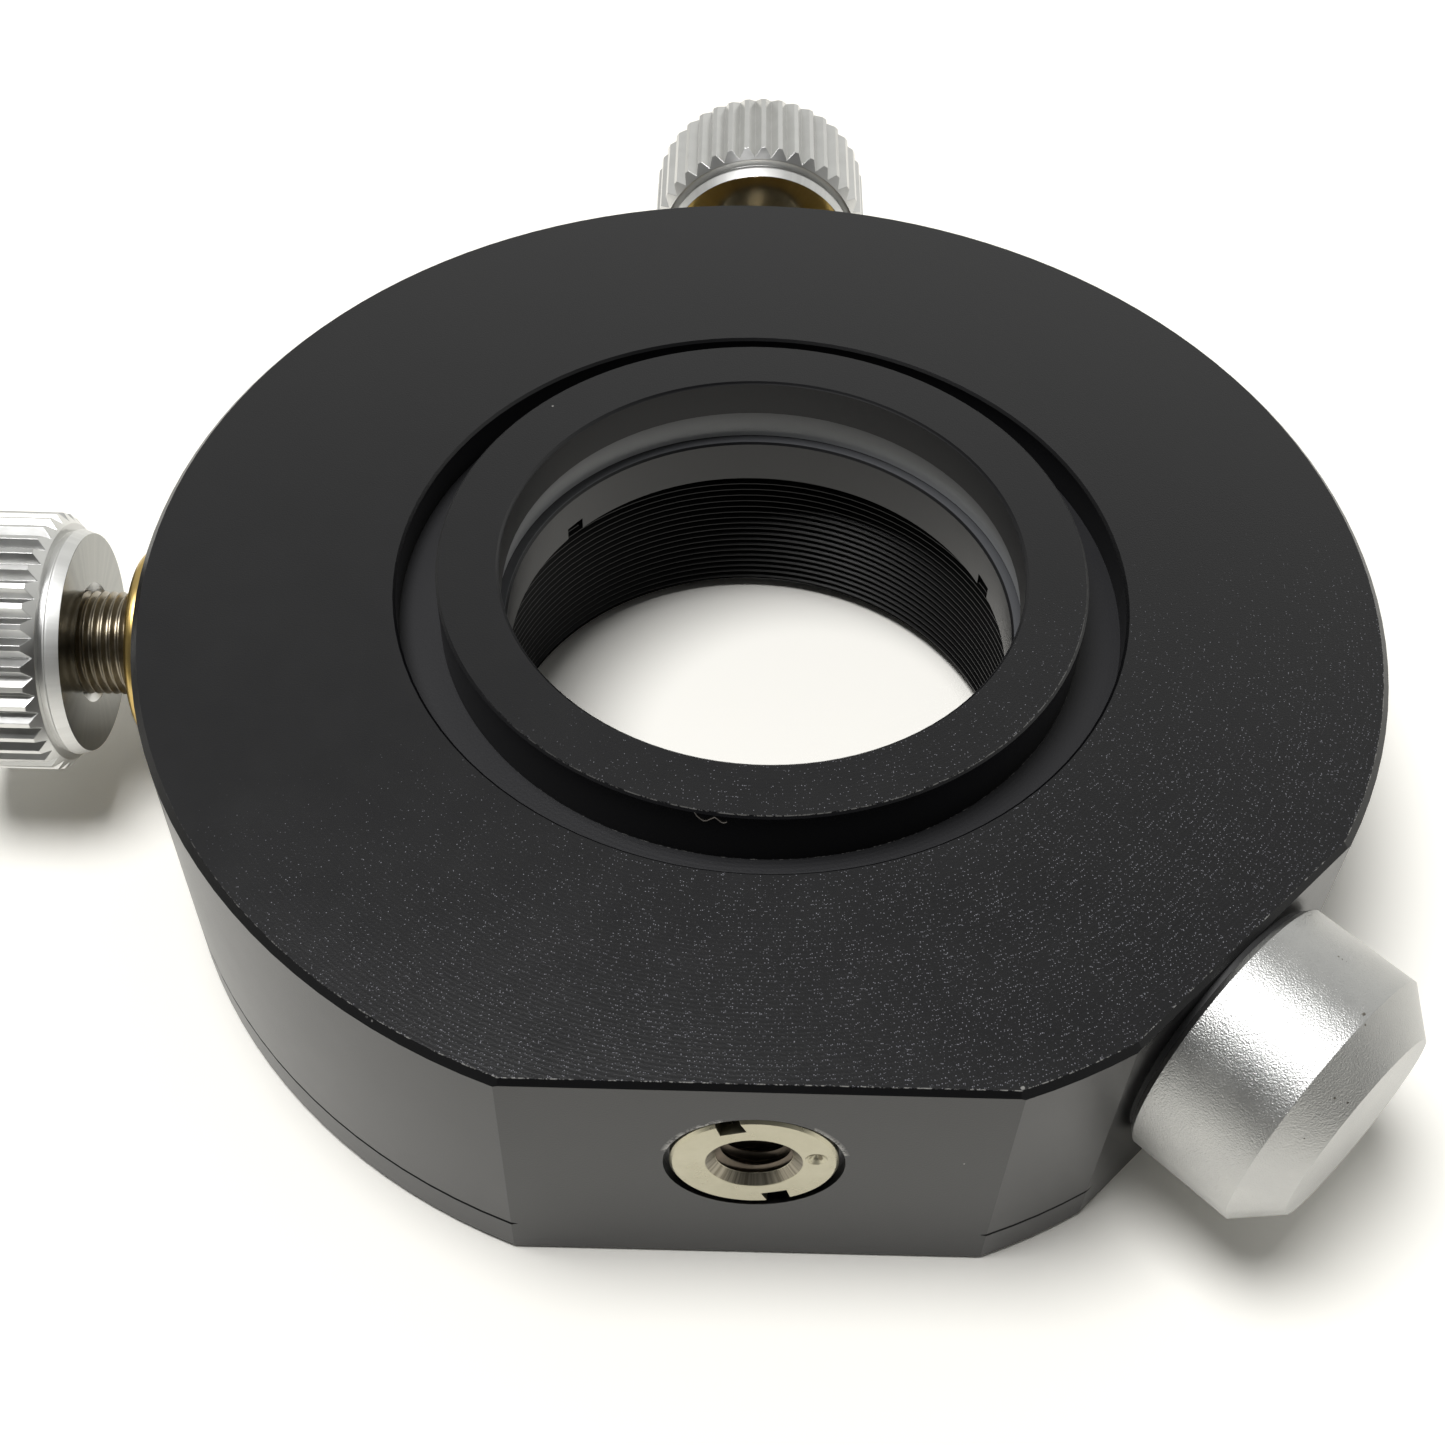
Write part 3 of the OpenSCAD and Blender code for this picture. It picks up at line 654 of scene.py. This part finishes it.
# Knobs: brass with satin nickel plating, the face towards the housing polished.
# To the eye: a pale grey knurl and bead with soft highlights, and a near-mirror face whose colour is
# painted per knob: darker on the left knob as painted shade and reflection, paler and warm on the
# back knob as painted light and painted reflection of the brass.

satinNickel = {
    "deep": "d2d2d0", "pale": "dfdfdd", "smooth": 0.28, "rough": 0.35, "patch": 2.5, "grain": 0.12,
    "depth": 0.002, "edge": 0.06, "centre": axisCentre,
    "zones": [((38.82, 39.7), (6.3, 6.75), 0.5, ("dededc", "e4e4e2"))],
}
knobFace = ((38.7, 38.81), (0.0, 6.4), 0.16)     # heights, radii and roughness of the polished face
# the bead lies between two radii and two heights; its rise from the root is scaled by these shares
bead = {"root": 6.35, "outer": 6.9, "from": 38.79, "to": 39.97, "groove": 39.59, "grooveFloor": 6.62,
        "crestShare": 0.6, "floorShare": 0.33}


def slimBead(name, node, axis, body, shades):
    # a copy of the knob whose bead rises less steeply and whose groove lies lower
    bm = cadCopy(node)
    bmesh.ops.dissolve_limit(bm, angle_limit=math.radians(1), verts=bm.verts, edges=bm.edges)
    stand = standAlong(axis, axisCentre)
    bmesh.ops.transform(bm, matrix=stand.inverted(), verts=bm.verts)
    for v in bm.verts:
        radius = v.co.xy.length / mm
        if bead["from"] < v.co.z / mm < bead["to"] and bead["root"] < radius < bead["outer"]:
            floor = v.co.z / mm > bead["groove"] and radius < bead["grooveFloor"]
            share = bead["floorShare"] if floor else bead["crestShare"]
            v.co.xy *= (bead["root"] + (radius - bead["root"]) * share) / radius
    bmesh.ops.transform(bm, matrix=stand, verts=bm.verts)
    finish = satinNickel | {"axis": axis, "zones": satinNickel["zones"] + [knobFace + (shades,)]}
    nickel = dressMetal("satin nickel, " + name, finish)
    finishPiece(bm, name, [nickel], body, [node])


# the faces' two shades: painted shade and reflection on the left knob, painted light and brass reflection on
# the back knob
slimBead("xKnobFinished", "x_knob", (-1, 0, 0), "x_adjuster", ("8c8c88", "94948f"))
slimBead("yKnobFinished", "y_knob", (0, 1, 0), "y_adjuster", ("d2d0c4", "d8d6ca"))


# Spring housing: bead-blasted aluminium, clear anodised, with a few specks of workshop dirt.
# To the eye: pale silver, grainy where the highlight fades, with sharp pale chamfers.

capSpecks = [((28.24, -28.2, 1.14), 0.07), ((28.25, -27.69, 1.24), 0.12), ((25.5, -32.39, -2.16), 0.06),
             ((27.45, -31.12, -0.98), 0.09), ((26.75, -31.1, -0.64), 0.08), ((27.82, -24.22, 0.8), 0.07),
             ((27.98, -24.36, 0.78), 0.07), ((28.15, -24.5, 0.75), 0.05)]
capMetal = dressMetal("clear anodised aluminium, bead blasted", {
    "deep": "b8b8b7", "pale": "c2c2c0", "smooth": 0.33, "rough": 0.39, "patch": 3.0, "grain": 0.09,
    "depth": 0.03, "edge": 0.05, "axis": diagonal, "centre": axisCentre, "dirtAndShade": capSpecks,
    "dirtAndShadeColour": "77736b"})
coat("spring_housing", capMetal)


# Bushes: turned brass, left bright.
# To the eye: a pale gold rim with one long highlight.

turnedBrass = {"deep": "c4a661", "pale": "d6bb7c", "smooth": 0.3, "rough": 0.38, "patch": 1.5, "grain": 0.1,
               "depth": 0.001, "centre": axisCentre, "lay": 0.3}
coat("x_bush", dressMetal("turned brass, left bush", turnedBrass | {"axis": (-1, 0, 0)}))
coat("y_bush", dressMetal("turned brass, back bush", turnedBrass | {"axis": (0, 1, 0)}))
coat("plunger", dressMetal("turned brass, plunger", turnedBrass | {"axis": diagonal}))


# Post insert: free-cutting stainless steel, faced on a lathe, with its thread.
# To the eye: an even warm grey face; a countersink painted darker, with streaks that are painted
# glints; slots and a spot in the dimple painted darker as painted shade; a threaded bore painted dark
# as painted shade.

insertThread = {"wall": 1.65, "crest": 1.65, "root": 1.98, "pitch": 0.7, "from": 27.614, "to": 31.3,
                "lead": 0.06, "steps": 48, "mouth": 2.04, "mouthRise": 0.13, "phase": -0.29}
# rim, flange, slots and dimple are found by radius and height on the solid, then moved or grown
insertFit = {"forward": 0.3, "turn": 5, "rimFrom": 31.75, "rimGrowth": 1.012, "flange": 2.3,
             "slotEnd": 2.912, "slotGrowth": 1.1, "dimple": 3.05, "dimpleReach": 0.65, "dimpleDepth": 0.75,
             "dimpleWidth": 1.1, "dimpleDrop": 0.17, "frontFrom": 31.0}
insertSteel = dressMetal("faced stainless steel", {
    "deep": "b3ae98", "pale": "bdb8a3", "smooth": 0.26, "rough": 0.34, "patch": 1.0, "grain": 0.1,
    "depth": 0.0015, "edge": 0.03, "axis": postward, "centre": axisCentre, "lay": 0.6,
    # the spot in the dimple is painted shade in the pit
    "dirtAndShade": [((2.97, -32.15, -5.66), 0.42)], "dirtAndShadeColour": "6b6555",
    # the countersink painted darker with streaks as painted glints; the slots painted near black as painted
    # shade
    "zones": [((31.66, 32.27), (1.9, 2.45), 0.3, ("787265", "9a9486")),
              ((30.4, 31.6), (2.8, 4.6), 0.5, ("15130f", "1b1814"))]})
# the bore's thread: the same steel painted darker, as painted shade in the hole
tappedSteel = dressMetal("tapped steel thread in painted shade", {
    "deep": "5c554c", "pale": "73695e", "smooth": 0.3, "rough": 0.4, "patch": 0.6, "grain": 0.1,
    "depth": 0.001})


def fitInsert(bm, fit):
    # a slightly wider rim, shorter slots, and a broader and shallower dimple
    front = [v for v in bm.verts if v.co.z / mm > fit["frontFrom"]]
    apex = min((v for v in front if v.link_faces and onRadius(v, fit["dimple"])), key=lambda v: v.co.z)
    centre = apex.co.copy()
    face = max(v.co.z for v in front)
    for v in front:
        if (v.co.xy - centre.xy).length / mm < fit["dimpleReach"]:
            v.co.xy = centre.xy + (v.co.xy - centre.xy) * fit["dimpleWidth"]
            v.co.y -= fit["dimpleDrop"] * mm
            v.co.z = face + (v.co.z - face) * fit["dimpleDepth"]
        elif onRadius(v, fit["slotEnd"], 0.01):
            v.co.xy *= fit["slotGrowth"]
        elif v.co.z / mm > fit["rimFrom"] and v.co.xy.length / mm > fit["flange"]:
            v.co.xy *= fit["rimGrowth"]


bm = cadCopy("post_insert")
stand = standAlong(postward, axisCentre)
bmesh.ops.transform(bm, matrix=stand.inverted(), verts=bm.verts)
fitInsert(bm, insertFit)
cutThread(bm, insertThread, 1)
forward = Matrix.Translation((0, 0, insertFit["forward"] * mm))
turn = Matrix.Rotation(math.radians(insertFit["turn"]), 4, "Z")
bmesh.ops.transform(bm, matrix=stand @ forward @ turn, verts=bm.verts)
finishPiece(bm, "postInsertThreaded", [insertSteel, tappedSteel], "housing", ["post_insert"])
print("knobs, cap, bushes and insert finished")


# Small inner pieces

inner = {
    # drawn wire, grey and slightly streaked
    "plunger_spring": ("drawn spring wire", {
        "deep": "9c9c9e", "pale": "c0c0c2", "smooth": 0.22, "rough": 0.34, "patch": 0.5, "grain": 0.1,
        "depth": 0.001}),
    # soft dark disc, dull to the eye
    "cap_washer": ("black nylon", {
        "deep": "111112", "pale": "1c1c1e", "smooth": 0.5, "rough": 0.62, "metallic": 0.0, "patch": 1.2,
        "grain": 0.15, "depth": 0.003}),
    # rolled sheet, brown gold with a dull bloom
    "slide_washer": ("rolled bronze", {
        "deep": "a07f4c", "pale": "b99762", "smooth": 0.3, "rough": 0.42, "patch": 4.0, "grain": 0.2,
        "depth": 0.002}),
    # hardened balls and pads, near mirrors with a little haze
    "x_ball": ("polished ball steel", {
        "deep": "c4c4c8", "pale": "d4d4d8", "smooth": 0.05, "rough": 0.1, "patch": 1.0, "grain": 0.1,
        "depth": 0.0003}),
    "x_pad": ("ground hard steel", {
        "deep": "bdbdc1", "pale": "cfcfd3", "smooth": 0.14, "rough": 0.24, "patch": 1.5, "grain": 0.1,
        "depth": 0.001}),
    # black oxide that has gone a little grey on top
    "cover_screws": ("black oxide steel", {
        "deep": "1d1d1f", "pale": "303033", "smooth": 0.34, "rough": 0.46, "metallic": 0.4, "patch": 0.8,
        "grain": 0.12, "depth": 0.002}),
}
for node, (name, finish) in inner.items():
    coat(node, dressMetal(name, finish))
for node, twin in {"y_ball": "x_ball", "y_pad": "x_pad"}.items():
    coat(node, nodes[twin].material_slots[0].material)
print("inner pieces finished")


# Lint on the ring's wall: one curled fibre.
# To the eye: a hair-thin grey squiggle under the ring's front edge.

fibre = {
    "radius": 0.028,
    "sides": 6,
    "points": [(-3.323, -17.664, 2.247), (-3.224, -17.737, 2.061), (-3.047, -17.768, 1.862),
               (-2.871, -17.797, 1.734), (-2.702, -17.825, 1.787), (-2.512, -17.851, 1.98),
               (-2.326, -17.878, 2.148), (-2.169, -17.899, 2.009), (-2.011, -17.915, 1.83),
               (-1.861, -17.932, 1.776), (-1.709, -17.948, 1.872)],
}


def layFibre():
    points = [Vector(p) * mm for p in fibre["points"]]
    bm = bmesh.new()
    ring = bmesh.ops.create_circle(bm, cap_ends=True, segments=fibre["sides"],
                                   radius=fibre["radius"] * mm)["verts"]
    heading = (points[1] - points[0]).normalized()
    turn = Vector((0, 0, 1)).rotation_difference(heading).to_matrix().to_4x4()
    bmesh.ops.transform(bm, matrix=Matrix.Translation(points[0]) @ turn, verts=ring)
    edges = list({e for v in ring for e in v.link_edges})
    for i in range(1, len(points)):
        after = points[min(i + 1, len(points) - 1)] - points[i - 1]
        bend = heading.rotation_difference(after.normalized()).to_matrix().to_4x4()
        made = bmesh.ops.extrude_edge_only(bm, edges=edges)["geom"]
        edges = onlyEdges(made)
        step = Matrix.Translation(points[i]) @ bend @ Matrix.Translation(-points[i - 1])
        bmesh.ops.transform(bm, matrix=step, verts=onlyVerts(made))
        heading = after.normalized()
    bmesh.ops.contextual_create(bm, geom=edges)
    return bm


lint = dressMetal("grey lint", {
    "deep": "5f5a55", "pale": "7b7670", "smooth": 0.6, "rough": 0.8, "metallic": 0.0, "patch": 0.2,
    "grain": 0.05, "depth": 0.002})
finishPiece(layFibre(), "lintFibre", [lint], "cell")
print("lint laid")
